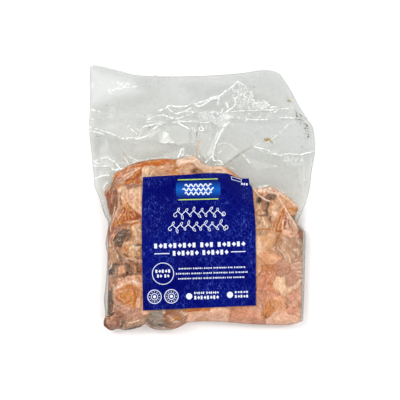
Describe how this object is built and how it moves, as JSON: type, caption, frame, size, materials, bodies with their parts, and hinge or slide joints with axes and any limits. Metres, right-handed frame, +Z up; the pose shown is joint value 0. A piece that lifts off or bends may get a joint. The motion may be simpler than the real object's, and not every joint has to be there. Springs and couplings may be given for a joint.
{
  "type": "vacuum pack of hot smoked salmon pieces",
  "caption": "Sealed clear bag of hot smoked salmon pieces lying flat, with a dark blue printed label on its front and an empty flap of creased film above it.",
  "frame": {"origin": "middle of the bounding box in plan, on the ground that the pack lies on", "axes": "+X across the bag, +Y from its filled end to its empty flap, +Z up, out of the labelled front"},
  "size_m": [0.2038, 0.2392, 0.027],
  "materials": {
    "film": "clear glossy film over pink and orange smoked fish",
    "label": "satin dark blue printed label"
  },
  "bodies": {
    "root": {"pouch": "film", "label": "label"}
  },
  "joints": []
}
